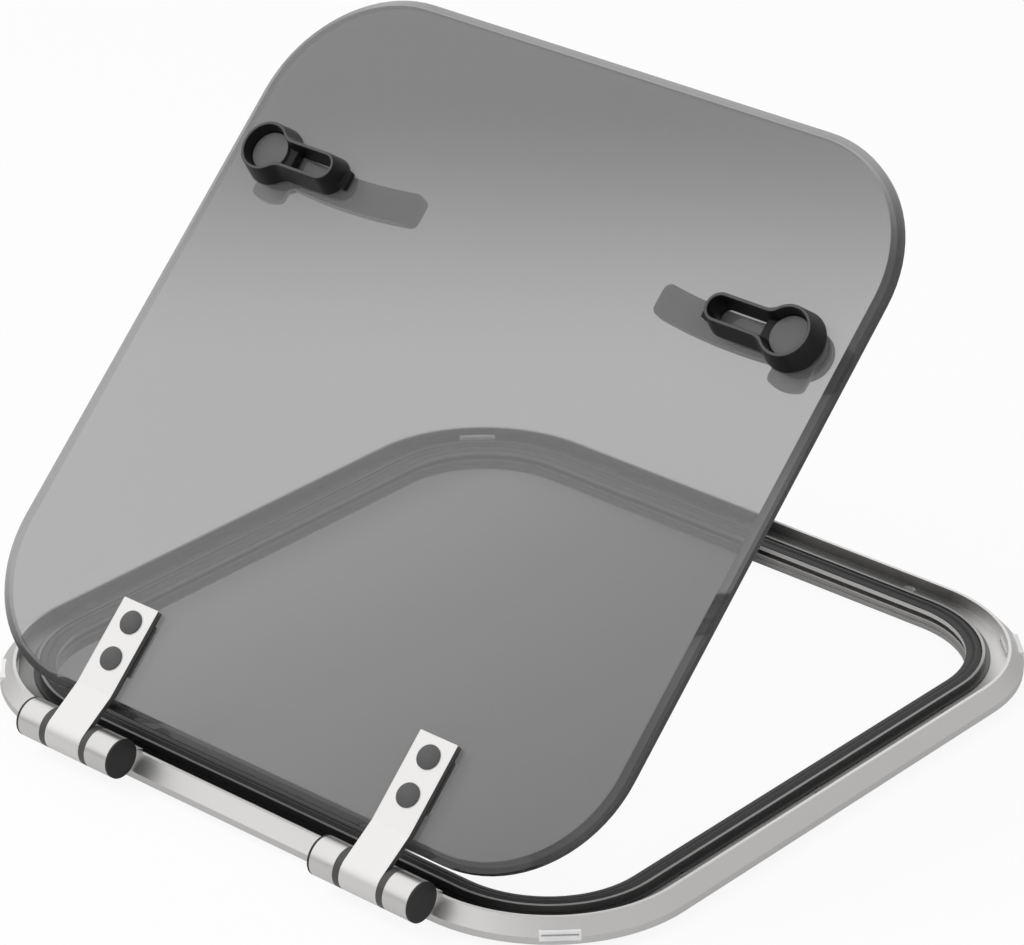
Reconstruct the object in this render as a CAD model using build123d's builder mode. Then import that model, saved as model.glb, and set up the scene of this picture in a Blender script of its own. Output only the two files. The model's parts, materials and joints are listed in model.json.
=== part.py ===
# Deck hatch: a square aluminium frame with a gutter, a seal and four drain spouts, and a
# smoked acrylic lid on two friction hinges, held open at 45 degrees. Two cam handles in the
# lid lock it under the frame. Millimetres. The origin is the centre of the frame on the deck,
# +X runs along the hinge axis, +Y points away from the hinges and +Z is up.
import os
from math import acos, atan2, cos, radians, sin, tan

from build123d import *

os.makedirs("parts", exist_ok=True)

# frame outline and section, measured inwards from the outer edge and up from the deck
frame_width = 500
frame_depth = 500
frame_corner_radius = 100
outer_band_height = 4.2
rim_height = 12.75
rim_setback = 8.1
rim_top_width = 2.0
rim_inner_draft = 0.5
gutter_floor = 5.0
gutter_width = 13.4
gutter_ledge_width = 3.4
gutter_ledge_height = 6.1
upstand_height = 10.0
upstand_thickness = 1.8
seal_channel_floor = 6.9
seal_channel_width = 7.8
inner_wall_height = 8.2
inner_wall_thickness = 1.9
cam_groove_floor = 1.6
cam_groove_top = 5.3
cam_groove_depth = 10.0
skirt_depth = 5.5
skirt_recess = 0.9
skirt_lip_height = 3.6

# deck screws in the gutter floor
deck_screw_hole = 5.5
deck_screw_head = 10.4
deck_screw_head_angle = 90
deck_screw_end_setback = 125

# drain spouts through the rim at the corners
drain_width = 23.4
drain_height = 5.9
drain_floor = 1.7
drain_wall = 1.4
drain_face_setback = 0.7
drain_notch_depth = 11.5

# seal
seal_fit = 0.1
seal_lid_gap = 0.3
seal_ridge_place = 0.42
seal_ridge_width = 1.0
seal_valley_depth = 1.3
seal_edge_drop = 1.5

# hinge axis and opening angle at rest
axis_setback = 8.7
axis_height = 16.4
rest_angle = 45
hinge_side_setback = 134

# friction hinges
barrel_radius = 12.1
arm_width = 27.6
washer_thickness = 4.7
washer_play = 0.05
base_knuckle_width = 17.4
end_cap_thickness = 1.5
end_cap_spigot_length = 2.4
hinge_bolt_radius = 4.0
hinge_running_clearance = 0.05
hinge_bush_wall = 1.6
bolt_head_radius = 6.5
bolt_head_height = 5.0
bolt_head_socket = 6.0
bolt_socket_depth = 3.0
counterbore_radius = 7.6
counterbore_depth = 9.0
disc_spring_thickness = 1.0
disc_spring_cone = 0.5
nut_width = 13.0
nut_height = 4.5
foot_toe_setback = 1.0
foot_top_height = 14.6
foot_root_depth = 1.9
foot_upper_angle = 13
foot_lower_angle = -68
foot_web_gap = 0.5
base_screw_radius = 2.0
base_screw_head_radius = 3.5
base_screw_head_height = 2.2
base_screw_height = 9.0
base_screw_reach = 11.0

# lid pane
lid_margin = 15
lid_thickness = 8
lid_top_above_axis = 2.3
lid_bevel_width = 5.5
lid_bevel_depth = 3.8

# hinge arms on the lid, along the lid from the hinge axis
arm_thickness = 3.6
arm_pad_thickness = 1.2
arm_pad_border = 0.4
arm_length = 86.4
arm_bend_place = 29.0
arm_bend_radius = 16.0
arm_edge_radius = 0.5
arm_bolt_near = 49.7
arm_bolt_pitch = 24.0
arm_bolt_radius = 2.5
arm_bolt_head_radius = 4.6
arm_bolt_head_height = 2.0
bolt_cap_radius = 7.4
bolt_cap_height = 2.6
bolt_cap_rim = 0.7
sleeve_wall = 1.5
backing_plate_width = 24.0
backing_plate_thickness = 2.0
backing_plate_border = 4.9
arm_nut_radius = 4.8
arm_nut_height = 5.2
arm_nut_skin = 1.2

# cam handles, from the frame's inner wall and the lid's far edge
handle_wall_distance = 17.2
handle_far_setback = 123.7
handle_lid_gap = 0.3
handle_height = 15.5
handle_hub_radius = 19.3
handle_grip_half_width = 12.3
handle_grip_length = 58.3
handle_neck_radius = 9.0
handle_draft = 12.2
handle_rim_thickness = 1.9
handle_recess_draft = 8.5
handle_floor_height = 6.0
handle_rim_round = 0.5
handle_slot_start = 17.3
handle_lip_length = 3.0
handle_lip_half_width = 6.0
handle_lip_height = 4.0
hub_disc_thickness = 1.6
hub_disc_gap = 0.3
spindle_radius = 7.0
spindle_square = 9.0
spindle_running_clearance = 0.05
spindle_socket_depth = 5.0
handle_bush_radius = 10.0
handle_bush_flange_radius = 15.0
handle_bush_flange_thickness = 2.0
spindle_seal_section = 2.4
spindle_seal_place = 4.0
collar_wall_clearance = 1.7
collar_gap = 0.3
cam_clearance = 0.4
cam_tip_clearance = 1.2
cam_half_width = 12.5
cam_nose_radius = 4.0
lever_thickness = 8.6
lever_reach = 105.0
lever_half_width = 10.2
lever_sag = 2.6
lever_tip_rise = 2.0
lever_tip_radius = 5.0
lever_edge_radius = 1.6
lever_screw_radius = 2.5
lever_screw_head_radius = 5.0
lever_screw_head_height = 3.0
lever_screw_length = 10.0
lever_screw_web = 1.0

# places that follow from the sizes above
front_edge = -frame_depth / 2
axis_y = front_edge - axis_setback
gutter_start = rim_setback + rim_top_width + rim_inner_draft
gutter_end = gutter_start + gutter_width
channel_start = gutter_end + upstand_thickness
channel_end = channel_start + seal_channel_width
wall_face = channel_end + inner_wall_thickness
ledge_start = gutter_end - gutter_ledge_width
screw_line = (gutter_start + ledge_start) / 2
hinge_spacing = frame_width - 2 * hinge_side_setback
lid_width = frame_width - 2 * lid_margin
lid_depth = frame_depth - 2 * lid_margin
lid_corner_radius = frame_corner_radius - lid_margin
lid_near_edge = axis_setback + lid_margin
handle_spread = frame_width - 2 * (wall_face + handle_wall_distance)
handle_place = lid_near_edge + lid_depth - handle_far_setback
collar_radius = handle_wall_distance - collar_wall_clearance
cam_reach = handle_wall_distance + cam_groove_depth - cam_tip_clearance
lid_top = lid_top_above_axis
lid_underside = lid_top - lid_thickness
closed_underside_height = axis_height + lid_underside
rest_tilt = radians(rest_angle)
lid_plane = Plane(
    origin=(0, axis_y, axis_height),
    x_dir=(1, 0, 0),
    z_dir=(0, -sin(rest_tilt), cos(rest_tilt)),
)
sides = (("left", -1), ("right", 1))


# path round the frame's outer edge, from the middle of the hinge side
def outline_path():
    sweep_radius = frame_corner_radius
    half_front = frame_width / 2 - sweep_radius
    side_lengths = (
        frame_depth - 2 * sweep_radius,
        frame_width - 2 * sweep_radius,
        frame_depth - 2 * sweep_radius,
        half_front,
    )
    with BuildLine() as path:
        edge = Line((0, front_edge), (half_front, front_edge))
        for side_length in side_lengths:
            corner = JernArc(edge @ 1, edge % 1, sweep_radius, 90)
            edge = Line(corner @ 1, (corner @ 1) + (corner % 1) * side_length)
    return path.wire()


section_plane = Plane(origin=(0, front_edge, 0), x_dir=(0, 1, 0), z_dir=(1, 0, 0))


# planes on the outer edge at the four corners, facing outwards
def corner_planes():
    reach = frame_corner_radius
    planes = []
    for turn in (45, 135, 225, 315):
        out_x = cos(radians(turn))
        out_y = sin(radians(turn))
        centre_x = (frame_width / 2 - reach) * (1 if out_x > 0 else -1)
        centre_y = (frame_depth / 2 - reach) * (1 if out_y > 0 else -1)
        planes.append(
            Plane(
                origin=(centre_x + reach * out_x, centre_y + reach * out_y, 0),
                x_dir=(-out_y, out_x, 0),
                z_dir=(out_x, out_y, 0),
            )
        )
    return planes


# centres of the deck screws: three on each side
def deck_screw_places():
    edge_x = frame_width / 2 - screw_line
    edge_y = frame_depth / 2 - screw_line
    end_x = frame_width / 2 - deck_screw_end_setback
    end_y = frame_depth / 2 - deck_screw_end_setback
    places = [(edge_x * sign, end_y * step) for sign in (-1, 1) for step in (-1, 0, 1)]
    places += [(end_x * step, edge_y * sign) for sign in (-1, 1) for step in (-1, 0, 1)]
    return places


# deck frame
with BuildPart() as deck_frame:
    with BuildSketch(section_plane) as frame_section:
        with BuildLine():
            Polyline(
                (0, 0),
                (0, outer_band_height),
                (rim_setback, rim_height),
                (rim_setback + rim_top_width, rim_height),
                (gutter_start, gutter_floor),
                (ledge_start, gutter_floor),
                (ledge_start, gutter_ledge_height),
                (gutter_end, gutter_ledge_height),
                (gutter_end, upstand_height),
                (channel_start, upstand_height),
                (channel_start, seal_channel_floor),
                (channel_end, seal_channel_floor),
                (channel_end, inner_wall_height),
                (wall_face, inner_wall_height),
                (wall_face, cam_groove_top),
                (wall_face - cam_groove_depth, cam_groove_top),
                (wall_face - cam_groove_depth, cam_groove_floor),
                (wall_face - skirt_recess, cam_groove_floor),
                (wall_face - skirt_recess, -skirt_lip_height / 2),
                (wall_face, -skirt_lip_height / 2),
                (wall_face, -skirt_lip_height),
                (wall_face - skirt_recess, -skirt_depth),
                (channel_end, -skirt_depth),
                (channel_end, 0),
                close=True,
            )
        make_face()
    sweep(path=outline_path())
    for corner in corner_planes():
        with BuildSketch(corner.offset(-drain_notch_depth)):
            with Locations((0, drain_floor + drain_height / 2)):
                Rectangle(drain_width, drain_height)
        extrude(amount=drain_notch_depth + drain_wall, mode=Mode.SUBTRACT)
    with Locations(*[(x, y, gutter_floor) for x, y in deck_screw_places()]):
        CounterSinkHole(
            radius=deck_screw_hole / 2,
            counter_sink_radius=deck_screw_head / 2,
            counter_sink_angle=deck_screw_head_angle,
        )
    for side, sign in sides:
        for knuckle in (-1, 1):
            reach = (arm_width + base_knuckle_width) / 2 + washer_thickness + 2 * washer_play
            with BuildSketch(Plane.XZ.offset(-front_edge - gutter_start - 1)):
                with Locations((sign * hinge_spacing / 2 + knuckle * reach, base_screw_height)):
                    Circle(base_screw_radius)
            extrude(amount=gutter_start + 1, mode=Mode.SUBTRACT)
deck_frame.part.label = "deck_frame"
export_step(deck_frame.part, "parts/deck_frame.step")

# lid seal: a strip with a sealing ridge, seated in its channel, and a lip that covers the
# top of the inner wall
with BuildPart() as lid_seal:
    seal_start = channel_start + seal_fit
    seal_end = channel_end - seal_fit
    seal_top = closed_underside_height - seal_lid_gap
    ridge = seal_start + seal_ridge_place * (seal_end - seal_start)
    with BuildSketch(section_plane):
        with BuildLine():
            Polyline(
                (seal_start, seal_channel_floor),
                (seal_start, seal_top - seal_edge_drop),
                (ridge, seal_top),
                (ridge + seal_ridge_width, seal_top),
                (ridge + 2 * seal_ridge_width, seal_top - seal_valley_depth),
                (seal_end - seal_ridge_width, seal_top - seal_valley_depth / 2),
                (wall_face, seal_top - seal_edge_drop),
                (wall_face, inner_wall_height),
                (seal_end, inner_wall_height),
                (seal_end, seal_channel_floor),
                close=True,
            )
        make_face()
    sweep(path=outline_path())
lid_seal.part.label = "lid_seal"
export_step(lid_seal.part, "parts/lid_seal.step")

# drain spouts: one through each corner of the rim, open from the gutter to the outside
with BuildPart() as drain_spouts:
    for corner in corner_planes():
        with BuildSketch(corner.offset(-drain_notch_depth)):
            with Locations((0, drain_floor + drain_height / 2)):
                Rectangle(drain_width, drain_height)
        extrude(amount=drain_notch_depth - drain_face_setback)
        channel_height = drain_floor + drain_height - drain_wall - gutter_floor
        with BuildSketch(corner.offset(-drain_notch_depth)):
            with Locations((0, gutter_floor + channel_height / 2)):
                Rectangle(drain_width - 2 * drain_wall, channel_height)
        extrude(amount=drain_notch_depth, mode=Mode.SUBTRACT)
drain_spouts.part.label = "drain_spouts"
export_step(drain_spouts.part, "parts/drain_spouts.step")

# friction hinge stack along X, from the middle of the arm knuckle outwards
washer_start = arm_width / 2 + washer_play
knuckle_start = washer_start + washer_thickness + washer_play
knuckle_end = knuckle_start + base_knuckle_width
cap_end = knuckle_end + end_cap_thickness
counterbore_floor = knuckle_end - counterbore_depth
slope = (rim_height - outer_band_height) / rim_setback
foot_root_radius = barrel_radius - foot_root_depth
spring_height = disc_spring_thickness + disc_spring_cone


def axis_sketch_plane(x):
    return Plane(origin=(x, axis_y, axis_height), x_dir=(0, 1, 0), z_dir=(1, 0, 0))


for side, sign in sides:
    hinge_x = sign * hinge_spacing / 2

    # hinge base: two knuckles on a foot that sits on the frame's slope and over its rim
    with BuildPart() as hinge_base:
        with BuildSketch(Plane.YZ.offset(hinge_x - knuckle_end)):
            with BuildLine():
                Polyline(
                    (front_edge + foot_toe_setback, outer_band_height + foot_toe_setback * slope),
                    (front_edge + rim_setback, rim_height),
                    (front_edge + rim_setback + rim_top_width, rim_height),
                    (front_edge + rim_setback + rim_top_width, foot_top_height),
                    *[
                        (
                            axis_y + foot_root_radius * cos(radians(angle)),
                            axis_height + foot_root_radius * sin(radians(angle)),
                        )
                        for angle in (foot_upper_angle, foot_lower_angle)
                    ],
                    close=True,
                )
            make_face()
        extrude(amount=2 * knuckle_end)
        for start in (-knuckle_end, knuckle_start):
            with BuildSketch(axis_sketch_plane(hinge_x + start)):
                Circle(barrel_radius)
            extrude(amount=base_knuckle_width)
        with BuildSketch(axis_sketch_plane(hinge_x - knuckle_start)):
            Circle(barrel_radius + foot_web_gap)
        extrude(amount=2 * knuckle_start, mode=Mode.SUBTRACT)
        with BuildSketch(axis_sketch_plane(hinge_x - knuckle_end)):
            Circle(hinge_bolt_radius)
        extrude(amount=2 * knuckle_end, mode=Mode.SUBTRACT)
        for start in (-knuckle_end, counterbore_floor):
            with BuildSketch(axis_sketch_plane(hinge_x + start)):
                Circle(counterbore_radius)
            extrude(amount=counterbore_depth, mode=Mode.SUBTRACT)
        for knuckle in (-1, 1):
            screw_x = hinge_x + knuckle * (knuckle_start + knuckle_end) / 2
            with BuildSketch(Plane.XZ.offset(-front_edge - gutter_start)):
                with Locations((screw_x, base_screw_height)):
                    Circle(base_screw_radius)
            extrude(amount=base_screw_reach, mode=Mode.SUBTRACT)
    hinge_base.part.label = f"{side}_hinge_base"
    export_step(hinge_base.part, f"parts/{side}_hinge_base.step")

    # hinge bolt: the pivot, with a socket head in one knuckle
    with BuildPart() as hinge_bolt:
        nut_outer = counterbore_floor + spring_height + nut_height
        with BuildSketch(axis_sketch_plane(hinge_x - nut_outer)):
            Circle(hinge_bolt_radius)
        extrude(amount=nut_outer + counterbore_floor)
        with BuildSketch(axis_sketch_plane(hinge_x + counterbore_floor)):
            Circle(bolt_head_radius)
        extrude(amount=bolt_head_height)
        head_end = counterbore_floor + bolt_head_height
        with BuildSketch(axis_sketch_plane(hinge_x + head_end - bolt_socket_depth)):
            RegularPolygon(bolt_head_socket / 2, 6, major_radius=False)
        extrude(amount=bolt_socket_depth, mode=Mode.SUBTRACT)
    hinge_bolt.part.label = f"{side}_hinge_bolt"
    export_step(hinge_bolt.part, f"parts/{side}_hinge_bolt.step")

# disc springs: conical washers that load the friction washers
with BuildPart() as disc_springs:
    for side, sign in sides:
        spring_x = sign * hinge_spacing / 2 - counterbore_floor
        with BuildSketch(Plane(origin=(spring_x, axis_y, axis_height), z_dir=(0, 0, 1))):
            with BuildLine():
                Polyline(
                    (0, bolt_head_radius),
                    (-disc_spring_thickness, bolt_head_radius),
                    (-spring_height, hinge_bolt_radius),
                    (-disc_spring_cone, hinge_bolt_radius),
                    close=True,
                )
            make_face()
        revolve(axis=Axis((spring_x, axis_y, axis_height), (1, 0, 0)))
disc_springs.part.label = "disc_springs"
export_step(disc_springs.part, "parts/disc_springs.step")

# hinge nuts
with BuildPart() as hinge_nuts:
    for side, sign in sides:
        nut_x = sign * hinge_spacing / 2 - counterbore_floor - spring_height - nut_height
        with BuildSketch(axis_sketch_plane(nut_x)):
            RegularPolygon(nut_width / 2, 6, major_radius=False)
            Circle(hinge_bolt_radius, mode=Mode.SUBTRACT)
        extrude(amount=nut_height)
hinge_nuts.part.label = "hinge_nuts"
export_step(hinge_nuts.part, "parts/hinge_nuts.step")

# friction washers between the knuckles
with BuildPart() as friction_washers:
    for side, sign in sides:
        for start in (-washer_start - washer_thickness, washer_start):
            with BuildSketch(axis_sketch_plane(sign * hinge_spacing / 2 + start)):
                Circle(barrel_radius)
                Circle(hinge_bolt_radius, mode=Mode.SUBTRACT)
            extrude(amount=washer_thickness)
friction_washers.part.label = "friction_washers"
export_step(friction_washers.part, "parts/friction_washers.step")

# end caps with a spigot in the counterbore
with BuildPart() as hinge_end_caps:
    for side, sign in sides:
        for end in (-1, 1):
            knuckle_face = sign * hinge_spacing / 2 + end * knuckle_end
            with BuildSketch(axis_sketch_plane(knuckle_face)):
                Circle(barrel_radius)
            extrude(amount=end * end_cap_thickness)
            with BuildSketch(axis_sketch_plane(knuckle_face)):
                Circle(counterbore_radius)
            extrude(amount=-end * end_cap_spigot_length)
hinge_end_caps.part.label = "hinge_end_caps"
export_step(hinge_end_caps.part, "parts/hinge_end_caps.step")

# screws that hold the hinge bases, with their heads in the gutter
with BuildPart() as hinge_base_screws:
    for side, sign in sides:
        for knuckle in (-1, 1):
            screw_x = sign * hinge_spacing / 2 + knuckle * (knuckle_start + knuckle_end) / 2
            with BuildSketch(Plane.XZ.offset(-front_edge - gutter_start)):
                with Locations((screw_x, base_screw_height)):
                    Circle(base_screw_head_radius)
            extrude(amount=-base_screw_head_height)
            with BuildSketch(Plane.XZ.offset(-front_edge - gutter_start)):
                with Locations((screw_x, base_screw_height)):
                    Circle(base_screw_radius)
            extrude(amount=base_screw_reach)
hinge_base_screws.part.label = "hinge_base_screws"
export_step(hinge_base_screws.part, "parts/hinge_base_screws.step")

# places of the lid's fasteners, in the lid's plane
arm_bolt_steps = (arm_bolt_near, arm_bolt_near + arm_bolt_pitch)
arm_bolt_places = [
    (sign * hinge_spacing / 2, step) for side, sign in sides for step in arm_bolt_steps
]
handle_places = [(sign * handle_spread / 2, handle_place) for side, sign in sides]
arm_underside = lid_top + arm_pad_thickness
arm_top = arm_underside + arm_thickness
plate_underside = lid_underside - backing_plate_thickness

# lid pane: smoked acrylic with a bevelled top edge
with BuildPart() as lid_pane:
    with BuildSketch(lid_plane.offset(lid_underside)):
        with Locations((0, lid_near_edge + lid_depth / 2)):
            RectangleRounded(lid_width, lid_depth, lid_corner_radius)
    extrude(amount=lid_thickness)
    top_face = lid_pane.faces().sort_by(Axis(lid_plane.origin, lid_plane.z_dir))[-1]
    chamfer(
        top_face.outer_wire().edges(),
        length=lid_bevel_width,
        length2=lid_bevel_depth,
        reference=top_face,
    )
    with BuildSketch(lid_plane.offset(lid_underside)):
        with Locations(*arm_bolt_places):
            Circle(arm_bolt_radius + sleeve_wall)
        with Locations(*handle_places):
            Circle(handle_bush_radius)
    extrude(amount=lid_thickness, mode=Mode.SUBTRACT)
lid_pane.part.label = "lid_pane"
export_step(lid_pane.part, "parts/lid_pane.step")

for side, sign in sides:
    hinge_x = sign * hinge_spacing / 2

    # hinge arm: a flat strap that rises over the rim into the middle knuckle
    with BuildPart() as hinge_arm:
        arm_plane = Plane(
            origin=(hinge_x - arm_width / 2, axis_y, axis_height),
            x_dir=lid_plane.y_dir,
            z_dir=(1, 0, 0),
        )
        bend_distance = (arm_bend_place**2 + arm_top**2) ** 0.5
        rise_angle = atan2(arm_top, arm_bend_place) + acos(barrel_radius / bend_distance)
        tangent_point = (barrel_radius * cos(rise_angle), barrel_radius * sin(rise_angle))
        rise_slope = (tangent_point[1] - arm_top) / (arm_bend_place - tangent_point[0])
        root_place = barrel_radius / 2
        root_height = arm_underside + rise_slope * (arm_bend_place - root_place)
        with BuildSketch(arm_plane) as arm_profile:
            with BuildLine():
                Polyline(
                    (0, 0),
                    tangent_point,
                    (arm_bend_place, arm_top),
                    (arm_length, arm_top),
                    (arm_length, arm_underside),
                    (arm_bend_place, arm_underside),
                    (root_place, root_height),
                    close=True,
                )
            make_face()
            bends = [
                corner
                for corner in arm_profile.vertices()
                if abs((corner.center() - arm_plane.origin).dot(arm_plane.x_dir) - arm_bend_place) < 0.01
            ]
            fillet(bends, arm_bend_radius)
            Circle(barrel_radius)
            Circle(hinge_bolt_radius + hinge_bush_wall, mode=Mode.SUBTRACT)
        extrude(amount=arm_width)
        tip_face = hinge_arm.faces().sort_by(Axis(arm_plane.origin, arm_plane.x_dir))[-1]
        fillet(tip_face.edges(), arm_edge_radius)
        with BuildSketch(lid_plane.offset(arm_underside)):
            with Locations(*[(hinge_x, step) for step in arm_bolt_steps]):
                Circle(arm_bolt_radius)
        extrude(amount=arm_thickness, mode=Mode.SUBTRACT)
        with BuildSketch(lid_plane.offset(arm_top - arm_bolt_head_height)):
            with Locations(*[(hinge_x, step) for step in arm_bolt_steps]):
                Circle(arm_bolt_head_radius)
        extrude(amount=arm_bolt_head_height, mode=Mode.SUBTRACT)
    hinge_arm.part.label = f"{side}_hinge_arm"
    export_step(hinge_arm.part, f"parts/{side}_hinge_arm.step")

# bushes in the arm knuckles
with BuildPart() as hinge_bushes:
    for side, sign in sides:
        with BuildSketch(axis_sketch_plane(sign * hinge_spacing / 2 - arm_width / 2)):
            Circle(hinge_bolt_radius + hinge_bush_wall)
            Circle(hinge_bolt_radius + hinge_running_clearance, mode=Mode.SUBTRACT)
        extrude(amount=arm_width)
hinge_bushes.part.label = "hinge_bushes"
export_step(hinge_bushes.part, "parts/hinge_bushes.step")

# pads between the arms and the pane
with BuildPart() as arm_pads:
    pad_start = lid_near_edge + lid_bevel_width + arm_pad_border
    pad_end = arm_length - arm_pad_border
    with BuildSketch(lid_plane.offset(lid_top)):
        for side, sign in sides:
            with Locations((sign * hinge_spacing / 2, (pad_start + pad_end) / 2)):
                Rectangle(arm_width - 2 * arm_pad_border, pad_end - pad_start)
        with Locations(*arm_bolt_places):
            Circle(arm_bolt_radius, mode=Mode.SUBTRACT)
    extrude(amount=arm_pad_thickness)
arm_pads.part.label = "arm_pads"
export_step(arm_pads.part, "parts/arm_pads.step")

# sleeves round the arm bolts in the pane
with BuildPart() as pane_sleeves:
    with BuildSketch(lid_plane.offset(lid_underside)):
        with Locations(*arm_bolt_places):
            Circle(arm_bolt_radius + sleeve_wall)
            Circle(arm_bolt_radius, mode=Mode.SUBTRACT)
    extrude(amount=lid_thickness)
pane_sleeves.part.label = "pane_sleeves"
export_step(pane_sleeves.part, "parts/pane_sleeves.step")

# backing plates under the pane
with BuildPart() as backing_plates:
    plate_length = arm_bolt_pitch + 2 * backing_plate_border
    with BuildSketch(lid_plane.offset(plate_underside)):
        for side, sign in sides:
            with Locations((sign * hinge_spacing / 2, arm_bolt_near + arm_bolt_pitch / 2)):
                RectangleRounded(backing_plate_width, plate_length, backing_plate_border / 2)
        with Locations(*arm_bolt_places):
            Circle(arm_bolt_radius, mode=Mode.SUBTRACT)
    extrude(amount=backing_plate_thickness)
backing_plates.part.label = "backing_plates"
export_step(backing_plates.part, "parts/backing_plates.step")

# arm bolts, from the counterbore in the arm down into the nuts
with BuildPart() as arm_bolts:
    bolt_end = plate_underside - arm_nut_height + arm_nut_skin
    head_underside = arm_top - arm_bolt_head_height
    with BuildSketch(lid_plane.offset(bolt_end)):
        with Locations(*arm_bolt_places):
            Circle(arm_bolt_radius)
    extrude(amount=head_underside - bolt_end)
    with BuildSketch(lid_plane.offset(head_underside)):
        with Locations(*arm_bolt_places):
            Circle(arm_bolt_head_radius)
    extrude(amount=arm_bolt_head_height)
arm_bolts.part.label = "arm_bolts"
export_step(arm_bolts.part, "parts/arm_bolts.step")

# domed caps over the bolt heads
cap_dome_radius = (bolt_cap_radius**2 + (bolt_cap_height - bolt_cap_rim) ** 2) / (
    2 * (bolt_cap_height - bolt_cap_rim)
)
with BuildPart() as bolt_caps:
    for place in arm_bolt_places:
        dome_plane = Plane(
            origin=lid_plane.from_local_coords((place[0], place[1], arm_top)),
            x_dir=(1, 0, 0),
            z_dir=-lid_plane.y_dir,
        )
        with BuildSketch(dome_plane):
            with BuildLine():
                Polyline(
                    (0, bolt_cap_height),
                    (0, 0),
                    (bolt_cap_radius, 0),
                    (bolt_cap_radius, bolt_cap_rim),
                )
                RadiusArc((bolt_cap_radius, bolt_cap_rim), (0, bolt_cap_height), -cap_dome_radius)
            make_face()
        revolve(axis=Axis(dome_plane.origin, lid_plane.z_dir))
bolt_caps.part.label = "bolt_caps"
export_step(bolt_caps.part, "parts/bolt_caps.step")

# cap nuts under the backing plates
with BuildPart() as arm_nuts:
    with BuildSketch(lid_plane.offset(plate_underside)):
        with Locations(*arm_bolt_places):
            Circle(arm_nut_radius)
    extrude(amount=-arm_nut_height)
    nut_floor = lid_plane.offset(plate_underside - arm_nut_height)
    rim_edges = [
        edge
        for edge in arm_nuts.edges().filter_by(GeomType.CIRCLE)
        if abs((edge.center() - nut_floor.origin).dot(nut_floor.z_dir)) < 0.01
    ]
    chamfer(rim_edges, arm_nut_skin)
    with BuildSketch(lid_plane.offset(plate_underside)):
        with Locations(*arm_bolt_places):
            Circle(arm_bolt_radius)
    extrude(amount=-(arm_nut_height - arm_nut_skin), mode=Mode.SUBTRACT)
arm_nuts.part.label = "arm_nuts"
export_step(arm_nuts.part, "parts/arm_nuts.step")

# flanged bushes that carry the handle spindles in the pane
bush_underside = lid_underside - handle_bush_flange_thickness
with BuildPart() as handle_bushes:
    with BuildSketch(lid_plane.offset(bush_underside)):
        with Locations(*handle_places):
            Circle(handle_bush_flange_radius)
    extrude(amount=handle_bush_flange_thickness)
    with BuildSketch(lid_plane.offset(lid_underside)):
        with Locations(*handle_places):
            Circle(handle_bush_radius)
    extrude(amount=lid_thickness)
    with BuildSketch(lid_plane.offset(bush_underside)):
        with Locations(*handle_places):
            Circle(spindle_radius + spindle_running_clearance)
    extrude(amount=lid_thickness + handle_bush_flange_thickness, mode=Mode.SUBTRACT)
handle_bushes.part.label = "handle_bushes"
export_step(handle_bushes.part, "parts/handle_bushes.step")

# levels of the handle pieces along the spindle, in the lid's plane
handle_base = lid_top + handle_lid_gap
handle_rim = lid_top + handle_height
handle_floor = lid_top + handle_floor_height
collar_top = bush_underside - collar_gap
cam_top = cam_groove_top - cam_clearance - axis_height
cam_underside = cam_groove_floor + cam_clearance - axis_height
lever_underside = cam_underside - lever_thickness
screw_seat = lever_underside + lever_screw_head_height
spindle_end = screw_seat + lever_screw_web

# the handle's inner outline at the rim, inside its drafted wall
rim_inset = (handle_rim - handle_base) * tan(radians(handle_draft)) + handle_rim_thickness
recess_hub_radius = handle_hub_radius - rim_inset
recess_half_width = handle_grip_half_width - rim_inset
recess_length = handle_grip_length - rim_inset
recess_shrink = tan(radians(handle_recess_draft))
hub_disc_radius = recess_hub_radius - (handle_rim - handle_floor) * recess_shrink - hub_disc_gap


# keyhole outline: a round hub with a straight grip that ends in a half circle
def keyhole(level, hub_x, inward, hub_radius, half_width, length):
    plane = lid_plane.offset(level)
    with BuildSketch(plane) as outline:
        straight = length - half_width
        with Locations((hub_x, handle_place)):
            Circle(hub_radius)
        with Locations((hub_x + inward * straight / 2, handle_place)):
            Rectangle(straight, 2 * half_width)
        with Locations((hub_x + inward * straight, handle_place)):
            Circle(half_width)
        necks = [
            corner
            for corner in outline.vertices()
            if 0 < (plane.to_local_coords(corner.center()).X - hub_x) * inward < hub_radius - 0.01
        ]
        fillet(necks, handle_neck_radius)
    return outline.sketch


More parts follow.
